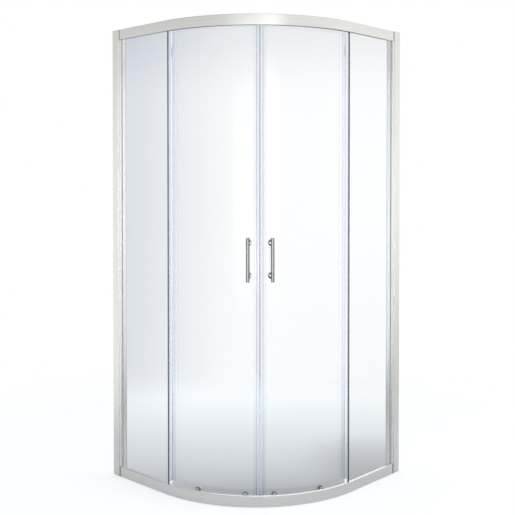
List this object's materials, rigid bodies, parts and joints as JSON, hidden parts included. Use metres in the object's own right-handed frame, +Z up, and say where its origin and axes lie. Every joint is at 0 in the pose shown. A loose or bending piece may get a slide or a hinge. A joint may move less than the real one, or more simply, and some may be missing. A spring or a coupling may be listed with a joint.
{
  "type": "quadrant shower enclosure",
  "caption": "Quarter-round corner shower enclosure: satin aluminium frame, fixed flat glass sides and curved sliding glass doors that meet at the middle, with bar handles.",
  "frame": {"origin": "centre of the bounding box in plan, on the shower tray", "axes": "+Z up; the left wall is the plane at the -X side and the right wall the plane at the +Y side, so the curved doors face +X -Y"},
  "size_m": [0.872, 0.872, 1.9],
  "materials": {
    "silver_rail": "satin anodised, faint lengthwise grain",
    "silver_profile": "satin anodised",
    "corner_plastic": "moulded nylon",
    "screw_steel": "stainless",
    "cap_plastic": "chrome-look plastic cap",
    "clear_glass": "clear toughened",
    "door_glass": "clear toughened, bent",
    "gasket_rubber": "grey glazing gasket",
    "clear_seal": "translucent soft PVC",
    "magnet_seal": "translucent PVC round a magnet strip",
    "stop_rubber": "black buffer",
    "roller_plastic": "moulded nylon",
    "nut_chrome": "polished",
    "handle_chrome": "polished",
    "washer_plastic": "clear washer",
    "wheel_plastic": "acetal"
  },
  "bodies": {
    "frame": {"top_rail": "silver_rail", "bottom_rail": "silver_rail", "left_upper_corner_block": "corner_plastic", "left_lower_corner_block": "corner_plastic", "left_wall_profile": "silver_profile", "left_jamb_profile": "silver_profile", "left_jamb_screws": "screw_steel", "left_screw_caps": "cap_plastic", "left_fixed_glass": "clear_glass", "left_jamb_gasket": "gasket_rubber", "left_head_gasket": "gasket_rubber", "left_sill_gasket": "gasket_rubber", "left_fixed_pane_seal": "clear_seal", "left_travel_stop": "stop_rubber", "right_upper_corner_block": "corner_plastic", "right_lower_corner_block": "corner_plastic", "right_wall_profile": "silver_profile", "right_jamb_profile": "silver_profile", "right_jamb_screws": "screw_steel", "right_screw_caps": "cap_plastic", "right_fixed_glass": "clear_glass", "right_jamb_gasket": "gasket_rubber", "right_head_gasket": "gasket_rubber", "right_sill_gasket": "gasket_rubber", "right_fixed_pane_seal": "clear_seal", "right_travel_stop": "stop_rubber"},
    "left_door": {"left_door_glass": "door_glass", "left_door_magnetic_seal": "magnet_seal", "left_door_trailing_seal": "clear_seal", "left_door_wiper_seal": "clear_seal", "left_upper_roller_mounts": "roller_plastic", "left_lower_roller_mounts": "roller_plastic", "left_upper_roller_nuts": "nut_chrome", "left_lower_roller_nuts": "nut_chrome", "left_handle_bar": "handle_chrome", "left_handle_posts": "handle_chrome", "left_handle_washers": "washer_plastic", "left_handle_inner_caps": "handle_chrome"},
    "left_upper_trailing_wheel": {"left_upper_trailing_wheel": "wheel_plastic"},
    "left_upper_leading_wheel": {"left_upper_leading_wheel": "wheel_plastic"},
    "left_lower_trailing_wheel": {"left_lower_trailing_wheel": "wheel_plastic"},
    "left_lower_leading_wheel": {"left_lower_leading_wheel": "wheel_plastic"},
    "right_door": {"right_door_glass": "door_glass", "right_door_magnetic_seal": "magnet_seal", "right_door_trailing_seal": "clear_seal", "right_door_wiper_seal": "clear_seal", "right_upper_roller_mounts": "roller_plastic", "right_lower_roller_mounts": "roller_plastic", "right_upper_roller_nuts": "nut_chrome", "right_lower_roller_nuts": "nut_chrome", "right_handle_bar": "handle_chrome", "right_handle_posts": "handle_chrome", "right_handle_washers": "washer_plastic", "right_handle_inner_caps": "handle_chrome"},
    "right_upper_trailing_wheel": {"right_upper_trailing_wheel": "wheel_plastic"},
    "right_upper_leading_wheel": {"right_upper_leading_wheel": "wheel_plastic"},
    "right_lower_trailing_wheel": {"right_lower_trailing_wheel": "wheel_plastic"},
    "right_lower_leading_wheel": {"right_lower_leading_wheel": "wheel_plastic"}
  },
  "joints": [
    {"name": "left_door_slide", "type": "hinge", "parent": "frame", "child": "left_door", "pos_m": [-0.12775, 0.17832, 0.95], "axis": [0, 0, -1], "range_deg": [0, 25.9]},
    {"name": "left_upper_trailing_wheel_spin", "type": "hinge", "parent": "left_door", "child": "left_upper_trailing_wheel", "pos_m": [0.03943, -0.39122, 1.8779], "axis": [0.2756, -0.9613, 0], "continuous": true},
    {"name": "left_upper_leading_wheel_spin", "type": "hinge", "parent": "left_door", "child": "left_upper_leading_wheel", "pos_m": [0.21741, -0.29956, 1.8779], "axis": [0.6225, -0.7826, 0], "continuous": true},
    {"name": "left_lower_trailing_wheel_spin", "type": "hinge", "parent": "left_door", "child": "left_lower_trailing_wheel", "pos_m": [0.03943, -0.39122, 0.0365], "axis": [0.2756, -0.9613, 0], "continuous": true},
    {"name": "left_lower_leading_wheel_spin", "type": "hinge", "parent": "left_door", "child": "left_lower_leading_wheel", "pos_m": [0.21741, -0.29956, 0.0365], "axis": [0.6225, -0.7826, 0], "continuous": true},
    {"name": "right_door_slide", "type": "hinge", "parent": "frame", "child": "right_door", "pos_m": [-0.17832, 0.12775, 0.95], "axis": [0, 0, 1], "range_deg": [0, 25.9]},
    {"name": "right_upper_trailing_wheel_spin", "type": "hinge", "parent": "right_door", "child": "right_upper_trailing_wheel", "pos_m": [0.39122, -0.03943, 1.8779], "axis": [-0.9613, 0.2756, 0], "continuous": true},
    {"name": "right_upper_leading_wheel_spin", "type": "hinge", "parent": "right_door", "child": "right_upper_leading_wheel", "pos_m": [0.29956, -0.21741, 1.8779], "axis": [-0.7826, 0.6225, 0], "continuous": true},
    {"name": "right_lower_trailing_wheel_spin", "type": "hinge", "parent": "right_door", "child": "right_lower_trailing_wheel", "pos_m": [0.39122, -0.03943, 0.0365], "axis": [-0.9613, 0.2756, 0], "continuous": true},
    {"name": "right_lower_leading_wheel_spin", "type": "hinge", "parent": "right_door", "child": "right_lower_leading_wheel", "pos_m": [0.29956, -0.21741, 0.0365], "axis": [-0.7826, 0.6225, 0], "continuous": true}
  ],
  "couplings": [
    {"joint": "left_upper_trailing_wheel_spin", "follows": "left_door_slide", "ratio": 59.357},
    {"joint": "left_upper_leading_wheel_spin", "follows": "left_door_slide", "ratio": 58.949},
    {"joint": "left_lower_trailing_wheel_spin", "follows": "left_door_slide", "ratio": 65.953},
    {"joint": "left_lower_leading_wheel_spin", "follows": "left_door_slide", "ratio": 65.499},
    {"joint": "right_upper_trailing_wheel_spin", "follows": "right_door_slide", "ratio": 59.357},
    {"joint": "right_upper_leading_wheel_spin", "follows": "right_door_slide", "ratio": 58.949},
    {"joint": "right_lower_trailing_wheel_spin", "follows": "right_door_slide", "ratio": 65.953},
    {"joint": "right_lower_leading_wheel_spin", "follows": "right_door_slide", "ratio": 65.499}
  ]
}
